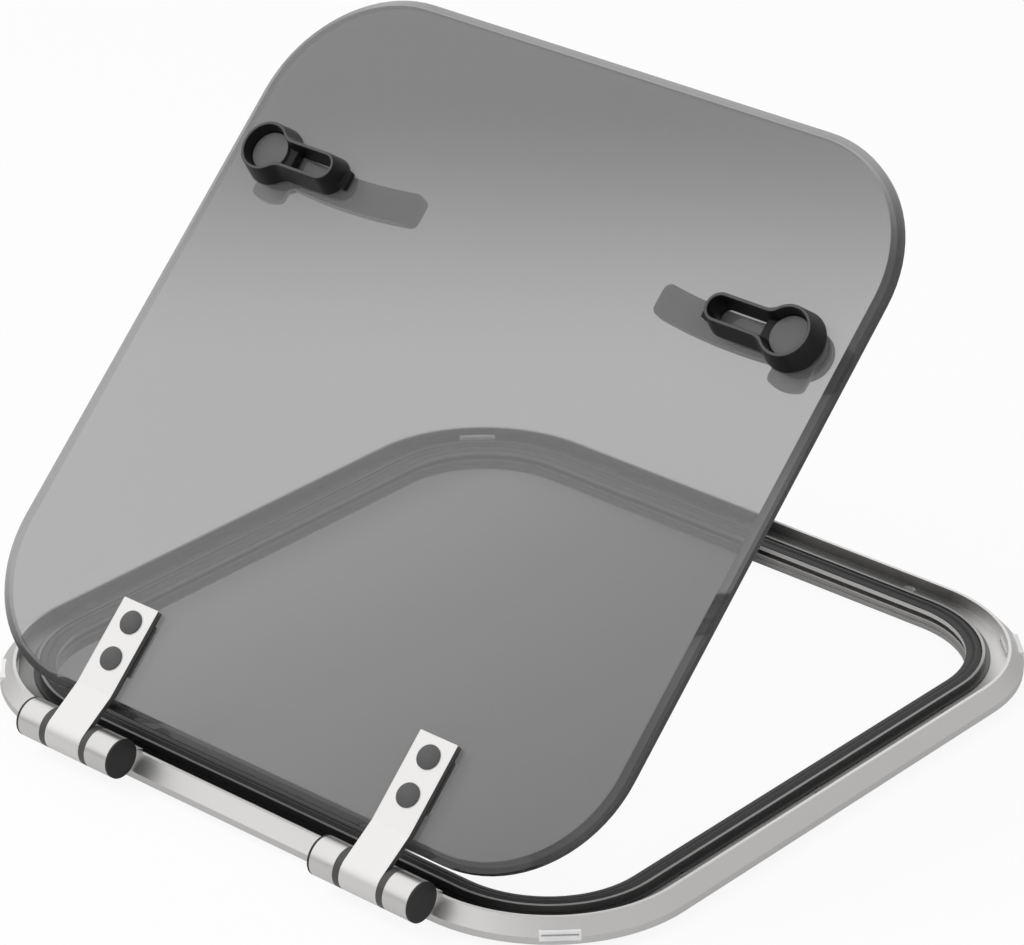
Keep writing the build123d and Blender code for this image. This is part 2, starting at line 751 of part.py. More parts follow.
for side, sign in sides:
    hub_x = sign * handle_spread / 2
    inward = -sign

    # outer handle: a keyhole wall with a recessed hub and an open finger slot
    outer_sizes = (handle_hub_radius, handle_grip_half_width, handle_grip_length)
    recess_sizes = (recess_hub_radius, recess_half_width, recess_length)
    outer_outline = keyhole(handle_base, hub_x, inward, *outer_sizes)
    recess_outline = keyhole(handle_rim, hub_x, inward, *recess_sizes)
    with BuildPart() as outer_handle:
        extrude(outer_outline, amount=handle_rim - handle_base, taper=handle_draft)
        recess_depth = handle_rim - handle_floor
        extrude(recess_outline, amount=-recess_depth, taper=handle_recess_draft, mode=Mode.SUBTRACT)
        with BuildSketch(lid_plane.offset(handle_rim)):
            slot_straight = recess_length - recess_half_width - handle_slot_start
            with Locations((hub_x + inward * (handle_slot_start + slot_straight / 2), handle_place)):
                Rectangle(slot_straight, 2 * recess_half_width)
            with Locations((hub_x + inward * (handle_slot_start + slot_straight), handle_place)):
                Circle(recess_half_width)
        extrude(amount=-(handle_rim - handle_base), taper=handle_recess_draft, mode=Mode.SUBTRACT)
        rim_faces = outer_handle.faces().sort_by(Axis(lid_plane.origin, lid_plane.z_dir))
        fillet(rim_faces[-1].edges(), handle_rim_round)
        with BuildSketch(lid_plane.offset(handle_base)):
            lip_reach = handle_grip_length + handle_lip_length
            lip_start = handle_grip_length - handle_grip_half_width / 2
            with Locations((hub_x + inward * (lip_start + lip_reach) / 2, handle_place)):
                RectangleRounded(lip_reach - lip_start, 2 * handle_lip_half_width, handle_lip_length / 2)
        extrude(amount=handle_lip_height)
        with BuildSketch(lid_plane.offset(handle_base)):
            with Locations((hub_x, handle_place)):
                Rectangle(spindle_square, spindle_square)
        extrude(amount=spindle_socket_depth, mode=Mode.SUBTRACT)
    outer_handle.part.label = f"{side}_outer_handle"
    export_step(outer_handle.part, f"parts/{side}_outer_handle.step")

    # hub disc: the plain insert on the handle's hub
    with BuildPart() as hub_disc:
        with BuildSketch(lid_plane.offset(handle_floor)):
            with Locations((hub_x, handle_place)):
                Circle(hub_disc_radius)
        extrude(amount=hub_disc_thickness)
    hub_disc.part.label = f"{side}_hub_disc"
    export_step(hub_disc.part, f"parts/{side}_hub_disc.step")

    # spindle: round in its bush, square in the handle, the collar, the cam and the lever
    seal_level = lid_underside + spindle_seal_place
    seal_inner_radius = spindle_radius - spindle_seal_section
    with BuildPart() as spindle:
        with BuildSketch(lid_plane.offset(collar_top)):
            with Locations((hub_x, handle_place)):
                Circle(spindle_radius)
        extrude(amount=handle_base - collar_top)
        with BuildSketch(lid_plane.offset(spindle_end)):
            with Locations((hub_x, handle_place)):
                Rectangle(spindle_square, spindle_square)
        extrude(amount=handle_base + spindle_socket_depth - spindle_end)
        with BuildSketch(lid_plane.offset(spindle_end)):
            with Locations((hub_x, handle_place)):
                Circle(lever_screw_radius)
        extrude(amount=lever_screw_length - lever_screw_web, mode=Mode.SUBTRACT)
        with BuildSketch(lid_plane.offset(seal_level)):
            with Locations((hub_x, handle_place)):
                Circle(spindle_radius)
                Circle(seal_inner_radius, mode=Mode.SUBTRACT)
        extrude(amount=spindle_seal_section, mode=Mode.SUBTRACT)
    spindle.part.label = f"{side}_spindle"
    export_step(spindle.part, f"parts/{side}_spindle.step")

    # square sealing ring in the spindle's groove
    with BuildPart() as spindle_seal:
        with BuildSketch(lid_plane.offset(seal_level)):
            with Locations((hub_x, handle_place)):
                Circle(spindle_radius)
                Circle(seal_inner_radius, mode=Mode.SUBTRACT)
        extrude(amount=spindle_seal_section)
    spindle_seal.part.label = f"{side}_spindle_seal"
    export_step(spindle_seal.part, f"parts/{side}_spindle_seal.step")

    # collar between the bush and the cam plate
    with BuildPart() as collar:
        with BuildSketch(lid_plane.offset(cam_top)):
            with Locations((hub_x, handle_place)):
                Circle(collar_radius)
                Rectangle(spindle_square, spindle_square, mode=Mode.SUBTRACT)
        extrude(amount=collar_top - cam_top)
    collar.part.label = f"{side}_collar"
    export_step(collar.part, f"parts/{side}_collar.step")

    # cam plate: its nose swings into the groove in the frame's inner wall
    with BuildPart() as cam_plate:
        with BuildSketch(lid_plane.offset(cam_underside)) as cam_outline:
            with Locations((hub_x, handle_place)):
                Circle(cam_reach)
            with Locations((hub_x, handle_place - cam_reach / 2)):
                Rectangle(2 * cam_half_width, cam_reach, mode=Mode.INTERSECT)
            nose_corners = cam_outline.vertices().sort_by(Axis(lid_plane.origin, lid_plane.y_dir))[:2]
            fillet(nose_corners, cam_nose_radius)
            with Locations((hub_x, handle_place)):
                Circle(cam_half_width)
                Rectangle(spindle_square, spindle_square, mode=Mode.SUBTRACT)
        extrude(amount=cam_top - cam_underside)
    cam_plate.part.label = f"{side}_cam_plate"
    export_step(cam_plate.part, f"parts/{side}_cam_plate.step")

    # inner lever: a boss with a long grip, bowed a little towards the hinges
    with BuildPart() as inner_lever:
        with BuildSketch(lid_plane.offset(lever_underside)) as lever_outline:
            with BuildLine():
                lever_bow = ((0, 0), (lever_reach / 2, -lever_sag), (lever_reach, lever_tip_rise))
                points = {}
                for name, edge in (("lower", -lever_half_width), ("upper", lever_half_width)):
                    points[name] = [
                        (hub_x + inward * along, handle_place + edge + offset)
                        for along, offset in lever_bow
                    ]
                ThreePointArc(*points["lower"])
                Line(points["lower"][-1], points["upper"][-1])
                ThreePointArc(*reversed(points["upper"]))
                Line(points["upper"][0], points["lower"][0])
            make_face()
            tip_corners = lever_outline.vertices().sort_by(Axis((0, 0, 0), (inward, 0, 0)))[-2:]
            fillet(tip_corners, lever_tip_radius)
            with Locations((hub_x, handle_place)):
                Circle(collar_radius)
        extrude(amount=lever_thickness)
        bottom_face = inner_lever.faces().sort_by(Axis(lid_plane.origin, lid_plane.z_dir))[0]
        fillet(bottom_face.edges(), lever_edge_radius)
        with BuildSketch(lid_plane.offset(spindle_end)):
            with Locations((hub_x, handle_place)):
                Rectangle(spindle_square, spindle_square)
        extrude(amount=cam_underside - spindle_end, mode=Mode.SUBTRACT)
        with BuildSketch(lid_plane.offset(lever_underside)):
            with Locations((hub_x, handle_place)):
                Circle(lever_screw_radius)
        extrude(amount=lever_thickness, mode=Mode.SUBTRACT)
        with BuildSketch(lid_plane.offset(lever_underside)):
            with Locations((hub_x, handle_place)):
                Circle(lever_screw_head_radius)
        extrude(amount=lever_screw_head_height, mode=Mode.SUBTRACT)
    inner_lever.part.label = f"{side}_inner_lever"
    export_step(inner_lever.part, f"parts/{side}_inner_lever.step")

    # screw that holds the lever on the spindle
    with BuildPart() as lever_screw:
        with BuildSketch(lid_plane.offset(lever_underside)):
            with Locations((hub_x, handle_place)):
                Circle(lever_screw_head_radius)
        extrude(amount=lever_screw_head_height)
        with BuildSketch(lid_plane.offset(screw_seat)):
            with Locations((hub_x, handle_place)):
                Circle(lever_screw_radius)
        extrude(amount=lever_screw_length)
    lever_screw.part.label = f"{side}_lever_screw"
    export_step(lever_screw.part, f"parts/{side}_lever_screw.step")
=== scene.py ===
import json
import math

import bpy
from mathutils import Matrix, Vector


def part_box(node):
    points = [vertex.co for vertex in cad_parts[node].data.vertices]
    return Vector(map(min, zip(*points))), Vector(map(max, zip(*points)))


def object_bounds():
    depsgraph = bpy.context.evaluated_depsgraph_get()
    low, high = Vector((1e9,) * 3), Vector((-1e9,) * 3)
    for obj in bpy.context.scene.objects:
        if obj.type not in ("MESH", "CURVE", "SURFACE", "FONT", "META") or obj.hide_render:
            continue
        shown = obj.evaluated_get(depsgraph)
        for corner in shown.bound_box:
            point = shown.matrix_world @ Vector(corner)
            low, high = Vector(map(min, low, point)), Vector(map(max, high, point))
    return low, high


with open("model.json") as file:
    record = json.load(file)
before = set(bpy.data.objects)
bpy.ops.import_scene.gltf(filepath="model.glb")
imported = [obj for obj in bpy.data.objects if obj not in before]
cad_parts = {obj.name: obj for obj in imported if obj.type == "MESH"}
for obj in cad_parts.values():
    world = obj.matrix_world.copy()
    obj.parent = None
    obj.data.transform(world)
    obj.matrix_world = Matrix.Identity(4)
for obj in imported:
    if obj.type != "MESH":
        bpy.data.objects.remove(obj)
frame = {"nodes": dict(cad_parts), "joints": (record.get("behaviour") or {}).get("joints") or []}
nodes = frame["nodes"]
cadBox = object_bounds()
print("frame loaded:", len(nodes), "nodes")

joints = {joint["name"]: joint for joint in frame["joints"]}
hingePlace = Vector(joints["lid_hinge"]["pos_m"])
lidNormal = Vector(joints["left_handle_turn"]["axis"]).normalized()  # up out of the open lid
alongLid = lidNormal.cross(Vector(joints["lid_hinge"]["axis"]))  # from the hinges to the handles


# Shader helpers
noiseMiddle = 0.5  # a noise keeps near this value


class Signal:  # a node's output, for use in sums
    def __init__(self, graph, socket):
        self.graph = graph
        self.socket = socket

    def __getitem__(self, name):  # another output of the same node
        return Signal(self.graph, self.socket.node.outputs[name])

    def math(self, operation, *others):
        values = dict(enumerate((self,) + others))
        return self.graph.node("ShaderNodeMath", {"operation": operation}, values)

    def __add__(self, other):
        return self.math("ADD", other)

    def __radd__(self, other):
        return self.math("ADD", other)

    def __sub__(self, other):
        return self.math("SUBTRACT", other)

    def __rsub__(self, other):
        return self.graph.node("ShaderNodeMath", {"operation": "SUBTRACT"}, {0: other, 1: self})

    def __mul__(self, other):
        return self.math("MULTIPLY", other)

    def __rmul__(self, other):
        return self.math("MULTIPLY", other)

    def dot(self, vector):
        settings = {"operation": "DOT_PRODUCT"}
        return self.graph.node("ShaderNodeVectorMath", settings, {0: self, 1: vector}, "Value")

    def parts(self, axes="XYZ"):  # the numbers of a vector
        split = self.graph.node("ShaderNodeSeparateXYZ", {}, {"Vector": self})
        return [split[axis] for axis in axes]

    def step(self, start, end):  # smooth ramp from 0 at start to 1 at end
        settings = {"interpolation_type": "SMOOTHSTEP", "clamp": True}
        values = {"Value": self, "From Min": start, "From Max": end}
        return self.graph.node("ShaderNodeMapRange", settings, values)

    def between(self, low, high, blur):  # 1 from low to high, fading over blur
        return self.step(low - blur, low + blur) * (1 - self.step(high - blur, high + blur))

    def blend(self, first, second):  # first where a mask is 0, second where it is 1
        return first + (second - first) * self


class Graph:  # the node tree of a material or a world
    def __init__(self, owner):
        owner.use_nodes = True
        self.tree = owner.node_tree
        self.tree.nodes.clear()

    def node(self, kind, settings=None, values=None, out=0):
        made = self.tree.nodes.new(kind)
        for name, value in (settings or {}).items():
            setattr(made, name, value)
        for name, value in (values or {}).items():
            if isinstance(value, Signal):
                self.tree.links.new(value.socket, made.inputs[name])
            else:
                made.inputs[name].default_value = value
        return Signal(self, made.outputs[out]) if made.outputs else made

    def place(self):  # a point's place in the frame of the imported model
        return self.node("ShaderNodeTexCoord", out="Object")

    def mixColour(self, factor, first, second):  # 6, 7 and 2 are the node's colour sockets
        settings = {"data_type": "RGBA", "blend_type": "MIX"}
        return self.node("ShaderNodeMix", settings, {0: factor, 6: first, 7: second}, 2)

    def noise(self, place, scale, detail, roughness=0.5):
        values = {"Vector": place, "Scale": scale, "Detail": detail, "Roughness": roughness}
        return self.node("ShaderNodeTexNoise", {}, values, "Fac")


def depthInside(across, along, half, corner):  # distance in from a square outline with round corners
    overX = across.math("ABSOLUTE") - (half - corner)
    overY = along.math("ABSOLUTE") - (half - corner)
    outX = overX.math("MAXIMUM", 0.0)
    outY = overY.math("MAXIMUM", 0.0)
    roundPart = (outX * outX + outY * outY).math("SQRT")
    straightPart = overX.math("MAXIMUM", overY).math("MINIMUM", 0.0)
    return corner - roundPart - straightPart


def grey(level, warmth=0.0):  # neutral colour, a little warmer above 0
    return (level * (1 + warmth), level, level * (1 - warmth), 1.0)


def newMaterial(name):
    made = bpy.data.materials.new(name)
    return made, Graph(made)


def dress(names, material):  # gives CAD nodes a finished material
    for name in names:
        mesh = nodes[name].data
        if not mesh.materials:
            mesh.materials.append(material)
        for index in range(len(mesh.materials)):
            mesh.materials[index] = material


# Anodised aluminium
aluminium = {
    "warmth": 0.012,
    "cloudScale": 9.0,  # slow changes of tone
    "cloudDetail": 4.0,
    "cloudRoughness": 0.08,  # what they add to the roughness
    "grainScale": 2600.0,
    "grainDetail": 2.0,
    "grainRoughness": 0.05,
    "grainDepth": 0.00002,
    "grainStrength": 0.35,
    "edgeRadius": 0.0004,
    "edgeSamples": 4,
}
frameShade = {  # painted shade on the frame; a pair is a band's two sides, or where a change starts and ends
    "half": cadBox[1][0],
    "corner": 0.1,
    "blur": 0.0003,
    "gutter": (0.0103, 0.0262),  # a band, in from the frame's edge
    "gutterTop": (0.0122, 0.0127),  # above the deck
    "gutterLevel": 0.38,
    "openCorner": (0.390, 0.425),  # x + y where the light runs along the gutter
    "ledge": (0.0205, 0.0241),  # a band inside the gutter
    "ledgeTop": (0.0064, 0.0068),
    "ledgeLevel": 0.30,
    "hingeSide": (-0.215, -0.235),
    "hingeSideLevel": 0.22,
    "wallStart": (0.0262, 0.0272),
    "skirt": (0.0016, 0.0006),  # the wall below the cam groove
    "skirtLevel": 0.62,
    "underLid": (0.180, 0.195),  # outward from here the left and far sides lie under the lid
    "underLidFrom": (0.0080, 0.0088),  # not the outer slope
    "leftEnd": (-0.185, -0.150),
    "farEnd": (0.045, 0.005),
    "underLidLevel": 0.34,
}
# painted shade on the arms' side faces
armShade = {
    "sideFace": (0.80, 0.97),  # how squarely a face looks along the hinge axis
    "sideLevel": 0.28,
}


def frameDimming(graph, place):  # painted shade: 1 on open faces, less in the gutter, on the skirt and under the lid
    x, y, z = place.parts()
    depth = depthInside(x, y, frameShade["half"], frameShade["corner"])
    gutter = depth.between(*frameShade["gutter"], frameShade["blur"])
    gutter = gutter * (1 - z.step(*frameShade["gutterTop"]))
    gutter = gutter * (1 - (x + y).step(*frameShade["openCorner"]))
    ledge = depth.between(*frameShade["ledge"], frameShade["blur"])
    ledge = ledge * (1 - z.step(*frameShade["ledgeTop"]))
    hingeGutter = gutter * y.step(*frameShade["hingeSide"])
    skirt = depth.step(*frameShade["wallStart"]) * z.step(*frameShade["skirt"])
    left = (-1 * x).step(*frameShade["underLid"]) * y.step(*frameShade["leftEnd"])
    far = y.step(*frameShade["underLid"]) * x.step(*frameShade["farEnd"])
    underLid = left.math("MAXIMUM", far) * depth.step(*frameShade["underLidFrom"])
    level = gutter.blend(1.0, frameShade["gutterLevel"])
    level = level * ledge.blend(1.0, frameShade["ledgeLevel"])
    level = level * hingeGutter.blend(1.0, frameShade["hingeSideLevel"])
    level = level * underLid.blend(1.0, frameShade["underLidLevel"])
    return level * skirt.blend(1.0, frameShade["skirtLevel"])


def armDimming(graph, place):  # painted shade: the side faces of an arm, across the hinge axis, are painted darker than its other faces
    across = graph.node("ShaderNodeNewGeometry")["Normal"].parts("X")[0]
    return across.math("ABSOLUTE").step(*armShade["sideFace"]).blend(1.0, armShade["sideLevel"])


def satinAluminium(name, look):
    made, graph = newMaterial(name)
    place = graph.place()
    cloud = graph.noise(place, aluminium["cloudScale"], aluminium["cloudDetail"])
    grain = graph.noise(place, aluminium["grainScale"], aluminium["grainDetail"])
    softEdge = graph.node("ShaderNodeBevel", {"samples": aluminium["edgeSamples"]}, {
        "Radius": aluminium["edgeRadius"],
    })
    bump = graph.node("ShaderNodeBump", {}, {
        "Strength": aluminium["grainStrength"],
        "Distance": aluminium["grainDepth"],
        "Height": grain,
        "Normal": softEdge,
    })
    dark = grey(look["dark"], aluminium["warmth"])
    light = grey(look["light"], aluminium["warmth"])
    colour = graph.mixColour(cloud, dark, light)
    if look["dimming"]:
        colour = graph.mixColour(look["dimming"](graph, place), grey(0.0), colour)
    unevenness = aluminium["cloudRoughness"] * cloud + aluminium["grainRoughness"] * grain
    shader = graph.node("ShaderNodeBsdfPrincipled", {}, {
        "Base Color": colour,
        "Metallic": 1.0,
        "Roughness": look["roughness"] + unevenness,
        "Normal": bump,
    })
    graph.node("ShaderNodeOutputMaterial", {}, {"Surface": shader})
    return made


aluminiumParts = {
    "frame_aluminium": {
        "nodes": ["deck_frame"],
        "light": 0.80, "dark": 0.72, "roughness": 0.36, "dimming": frameDimming,
    },
    "bases_aluminium": {
        "nodes": ["left_hinge_base", "right_hinge_base"],
        "light": 0.84, "dark": 0.72, "roughness": 0.26, "dimming": None,
    },
    "arms_aluminium": {
        "nodes": ["left_hinge_arm", "right_hinge_arm"],
        "light": 0.93, "dark": 0.90, "roughness": 0.36, "dimming": armDimming,
    },
}
for name, look in aluminiumParts.items():
    dress(look["nodes"], satinAluminium(name, look))
print("aluminium done")


# Smoked acrylic
acrylic = {
    "level": 0.94,
    "levelSpread": 0.02,
    "warmth": 0.006,
    "hazeScale": 4.0,
    "hazeDetail": 3.0,
    "roughness": 0.02,
    "hazeRoughness": 0.01,
    "ior": 1.49,
    "clearShare": 0.92,  # the rest is a faint haze
    "clearTint": (0.010, 0.000, 0.020, 1.0),  # what the smoke lets through, by colour
    "density": 56.0,  # per metre
    "shadowLevel": 0.96,
    "half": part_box("lid_pane")[1][0],
    "corner": 0.085,
    "centre": -hingePlace.y,  # from the hinge axis to the pane's middle, which closes over the origin
    "bevel": (0.0051, 0.0061),
    "edgeLevel": 0.22,
    "darkSide": (-0.060, 0.040),  # the painted shade on the bevel is strongest on the hinge side and the right side
    "otherSides": 0.42,
}


def smokedAcrylic():
    made, graph = newMaterial("smoked_acrylic")
    place = graph.place()
    haze = graph.noise(place, acrylic["hazeScale"], acrylic["hazeDetail"])
    across = place.parts("X")[0]
    along = place.dot(alongLid) - (hingePlace.dot(alongLid) + acrylic["centre"])
    # painted shade: a darker band round the pane's bevel
    edge = 1 - depthInside(across, along, acrylic["half"], acrylic["corner"]).step(*acrylic["bevel"])
    edge = edge * (across - along).step(*acrylic["darkSide"]).blend(acrylic["otherSides"], 1.0)
    deep = grey(acrylic["level"] - acrylic["levelSpread"], acrylic["warmth"])
    pale = grey(acrylic["level"] + acrylic["levelSpread"], acrylic["warmth"])
    body = graph.mixColour(haze, deep, pale)
    pane = graph.node("ShaderNodeBsdfPrincipled", {}, {
        "Base Color": graph.mixColour(edge, body, grey(acrylic["edgeLevel"])),
        "Roughness": acrylic["roughness"] + acrylic["hazeRoughness"] * haze,
        "IOR": acrylic["ior"],
        "Transmission Weight": acrylic["clearShare"],
    })
    clear = graph.node("ShaderNodeBsdfTransparent", {}, {"Color": grey(acrylic["shadowLevel"])})
    shadowRay = graph.node("ShaderNodeLightPath", out="Is Shadow Ray")
    surface = graph.node("ShaderNodeMixShader", {}, {0: shadowRay, 1: pane, 2: clear})
    smoke = graph.node("ShaderNodeVolumeAbsorption", {}, {
        "Color": acrylic["clearTint"],
        "Density": acrylic["density"],
    })
    graph.node("ShaderNodeOutputMaterial", {}, {"Surface": surface, "Volume": smoke})
    return made


dress(["lid_pane"], smokedAcrylic())
print("acrylic done")


# Rubber and plastics
plastics = {
    "seal_rubber": {
        "nodes": ["lid_seal"],
        "level": 0.028, "roughness": 0.55, "cloudScale": 30.0, "grainScale": 1800.0, "depth": 0.00003,
    },
    "pad_rubber": {
        "nodes": ["arm_pads", "left_spindle_seal", "right_spindle_seal"],
        "level": 0.022, "roughness": 0.65, "cloudScale": 40.0, "grainScale": 2200.0, "depth": 0.00004,
    },
    "handle_moulding": {
        "nodes": ["left_outer_handle", "right_outer_handle"],
        "level": 0.007, "roughness": 0.42, "cloudScale": 25.0, "grainScale": 1500.0, "depth": 0.00005,
        "rim": 0.30,  # painted highlight on rounded edges, where they would catch the light
        "top": 0.075,  # painted highlight on the faces that point out of the lid
        "edgeRadius": 0.0010,
        "gloss": 0.30,
    },
    "lever_moulding": {
        "nodes": ["left_inner_lever", "right_inner_lever", "left_collar", "right_collar", "handle_bushes"],
        "level": 0.012, "roughness": 0.42, "cloudScale": 25.0, "grainScale": 1500.0, "depth": 0.00005,
    },
    "bolt_cap_moulding": {
        "nodes": ["bolt_caps"],
        "level": 0.075, "roughness": 0.40, "cloudScale": 60.0, "grainScale": 1800.0, "depth": 0.00004,
    },
    "end_cap_moulding": {
        "nodes": ["hinge_end_caps"],
        "level": 0.013, "roughness": 0.50, "cloudScale": 60.0, "grainScale": 1800.0, "depth": 0.00004,
    },
    "disc_moulding": {
        "nodes": ["left_hub_disc", "right_hub_disc"],
        "level": 0.105, "roughness": 0.48, "cloudScale": 50.0, "grainScale": 2000.0, "depth": 0.00003,
    },
    "washer_acetal": {
        "nodes": ["friction_washers", "hinge_bushes", "pane_sleeves"],
        "level": 0.055, "roughness": 0.42, "cloudScale": 60.0, "grainScale": 2400.0, "depth": 0.00003,
    },
    "spout_moulding": {
        "nodes": ["drain_spouts"],
        "level": 0.85, "roughness": 0.40, "cloudScale": 60.0, "grainScale": 1800.0, "depth": 0.00003,
    },
}
moulding = {  # what the plastics share, where one doesn't say otherwise
    "levelSpread": 0.15,  # share by which the clouds change the tone
    "roughnessSpread": 0.10,
    "cloudDetail": 4.0,
    "grainDetail": 3.0,
    "grainSharpness": 0.6,
    "grainStrength": 0.6,
    "gloss": 0.5,
    "edgeRadius": 0.0007,
    "edgeSamples": 8,
    "bend": (0.005, 0.12),  # how far an edge turns away from its face
    "facing": (0.90, 0.98),  # how squarely a face looks out of the lid
    "topDepth": 0.0024,  # the painted highlight reaches this far down from a handle's top
}
handleTop = max(vertex.co.dot(lidNormal) for vertex in nodes["left_outer_handle"].data.vertices)


def paintedHighlightColour(graph, place, softEdge, look, colour):  # painted highlight: paler on a handle's top faces and their edges
    bend = 1 - softEdge.dot(graph.node("ShaderNodeNewGeometry")["Normal"])
    facing = graph.node("ShaderNodeTexCoord", out="Normal").dot(lidNormal)
    highlightFrom = handleTop - moulding["topDepth"]
    nearTop = place.dot(lidNormal).step(highlightFrom, highlightFrom + moulding["topDepth"] / 2)
    colour = graph.mixColour(facing.step(*moulding["facing"]) * nearTop, colour, grey(look["top"]))
    return graph.mixColour(bend.step(*moulding["bend"]) * nearTop, colour, grey(look["rim"]))


def mouldedPlastic(name, look):
    made, graph = newMaterial(name)
    place = graph.place()
    cloud = graph.noise(place, look["cloudScale"], moulding["cloudDetail"])
    grain = graph.noise(place, look["grainScale"], moulding["grainDetail"], moulding["grainSharpness"])
    softEdge = graph.node("ShaderNodeBevel", {"samples": moulding["edgeSamples"]}, {
        "Radius": look.get("edgeRadius", moulding["edgeRadius"]),
    })
    bump = graph.node("ShaderNodeBump", {}, {
        "Strength": moulding["grainStrength"],
        "Distance": look["depth"],
        "Height": grain,
        "Normal": softEdge,
    })
    dark = grey(look["level"] * (1 - moulding["levelSpread"]))
    light = grey(look["level"] * (1 + moulding["levelSpread"]))
    colour = graph.mixColour(cloud, dark, light)
    # painted highlight on the handles' tops and rims
    if "rim" in look:
        colour = paintedHighlightColour(graph, place, softEdge, look, colour)
    shader = graph.node("ShaderNodeBsdfPrincipled", {}, {
        "Base Color": colour,
        "Roughness": look["roughness"] + moulding["roughnessSpread"] * (cloud - noiseMiddle),
        "Specular IOR Level": look.get("gloss", moulding["gloss"]),
        "Normal": bump,
    })
    graph.node("ShaderNodeOutputMaterial", {}, {"Surface": shader})
    return made


for name, look in plastics.items():
    dress(look["nodes"], mouldedPlastic(name, look))
print("plastics done")


# Stainless steel
steel = {
    "nodes": [
        "left_hinge_bolt", "right_hinge_bolt", "disc_springs", "hinge_nuts", "hinge_base_screws",
        "backing_plates", "arm_bolts", "arm_nuts", "left_spindle", "right_spindle",
        "left_lever_screw", "right_lever_screw",
    ],
    "camNodes": ["left_cam_plate", "right_cam_plate"],
    "light": 0.60,
    "dark": 0.50,
    "camShare": 0.30,  # the cams are darker
    "warmth": 0.01,
    "cloudScale": 60.0,
    "cloudDetail": 3.0,
    "roughness": 0.30,
    "grainRoughness": 0.12,
    "grainScale": 1400.0,
    "grainDetail": 2.0,
    "grainDepth": 0.00002,
    "grainStrength": 0.4,
}


def stainlessSteel(name, share=1.0):
    made, graph = newMaterial(name)
    place = graph.place()
    cloud = graph.noise(place, steel["cloudScale"], steel["cloudDetail"])
    grain = graph.noise(place, steel["grainScale"], steel["grainDetail"])
    bump = graph.node("ShaderNodeBump", {}, {
        "Strength": steel["grainStrength"],
        "Distance": steel["grainDepth"],
        "Height": grain,
    })
    dark = grey(steel["dark"] * share, steel["warmth"])
    light = grey(steel["light"] * share, steel["warmth"])
    shader = graph.node("ShaderNodeBsdfPrincipled", {}, {
        "Base Color": graph.mixColour(cloud, dark, light),
        "Metallic": 1.0,
        "Roughness": steel["roughness"] + steel["grainRoughness"] * grain,
        "Normal": bump,
    })
    graph.node("ShaderNodeOutputMaterial", {}, {"Surface": shader})
    return made


dress(steel["nodes"], stainlessSteel("stainless_steel"))
dress(steel["camNodes"], stainlessSteel("dark_cam_steel", steel["camShare"]))
print("steel done")


# Floor
floorLook = {
    "size": 9.0,
    "drop": 0.0002,  # below the skirt's lowest edge
    "level": 0.84,
    "seenShare": 0.90,  # share of plain light where the camera sees the floor
    "reflectedShare": 0.60,
    "reflectedLevel": 0.45,
    "throughShare": 0.85,
    "throughNear": 0.59,  # light that comes through the pane from the floor, near and far
    "throughFar": 0.05,
    "fade": (0.42, 0.95),  # where it changes, along the picture's line of sight
    "sight": (-0.644, 0.765),
    "opening": (0.214, 0.240),
    "insideShare": 0.80,  # inside the frame the floor lies in shade
    "wallShare": 0.90,  # and more so along its left wall
    "wallShade": (-0.175, -0.214),
    "insideLevel": 0.080,
    "insideSlope": (-0.640, -0.100),  # change per metre along x and y
    "insideReflected": 0.40,  # share that the shaded left part gives back
    "litFrom": (-0.02, 0.14),
    "shadeAlong": (-0.214, -0.180),  # deep shade between the hinge side and the lid, in y and in x
    "shadeAcross": (-0.215, 0.090),
    "shadeBlur": 0.010,
    "shadeLevel": 0.04,
}


def floorWhite():
    made, graph = newMaterial("floor_white")
    path = graph.node("ShaderNodeLightPath")
    seen = path["Is Camera Ray"]
    through = path["Is Transmission Ray"]
    reflected = path["Is Glossy Ray"] * (1 - through)  # a ray through the pane counts as glossy too
    x, y = graph.place().parts("XY")
    outside = x.math("ABSOLUTE").math("MAXIMUM", y.math("ABSOLUTE")).step(*floorLook["opening"])
    insideShare = x.step(*floorLook["wallShade"]).blend(floorLook["insideShare"], floorLook["wallShare"])
    seenPart = seen * floorLook["seenShare"]
    reflectedPart = reflected * floorLook["reflectedShare"]
    throughPart = through * outside.blend(insideShare, floorLook["throughShare"])
    share = seenPart.math("MAXIMUM", reflectedPart).math("MAXIMUM", throughPart)
    shaded = (1 - outside) * (1 - x.step(*floorLook["litFrom"]))
    reflectedLevel = floorLook["reflectedLevel"] * shaded.blend(1.0, floorLook["insideReflected"])
    slopeX, slopeY = floorLook["insideSlope"]
    inside = floorLook["insideLevel"] + slopeX * x + slopeY * y
    sightX, sightY = floorLook["sight"]
    fade = (sightX * x + sightY * y).step(*floorLook["fade"])
    throughLevel = outside.blend(inside, fade.blend(floorLook["throughNear"], floorLook["throughFar"]))
    strength = through.blend(reflected.blend(1.0, reflectedLevel), throughLevel)
    shade = y.between(*floorLook["shadeAlong"], floorLook["shadeBlur"])
    shade = shade * x.between(*floorLook["shadeAcross"], floorLook["shadeBlur"])
    strength = strength * (seen * shade).blend(1.0, floorLook["shadeLevel"])
    plain = graph.mixColour(strength, grey(0.0), grey(1.0))
    paper = graph.node("ShaderNodeBsdfDiffuse", {}, {"Color": grey(floorLook["level"])})
    white = graph.node("ShaderNodeEmission", {}, {"Color": plain})
    surface = graph.node("ShaderNodeMixShader", {}, {0: share, 1: paper, 2: white})
    graph.node("ShaderNodeOutputMaterial", {}, {"Surface": surface})
    return made


def makeFloor():
    half = floorLook["size"] / 2
    height = cadBox[0][2] - floorLook["drop"]
    corners = [(-half, -half, height), (half, -half, height), (half, half, height), (-half, half, height)]
    mesh = bpy.data.meshes.new("floor")
    mesh.from_pydata(corners, [], [(0, 1, 2, 3)])
    mesh.materials.append(floorWhite())
    floor = bpy.data.objects.new("floor", mesh)
    bpy.context.scene.collection.objects.link(floor)


makeFloor()
print("floor done")


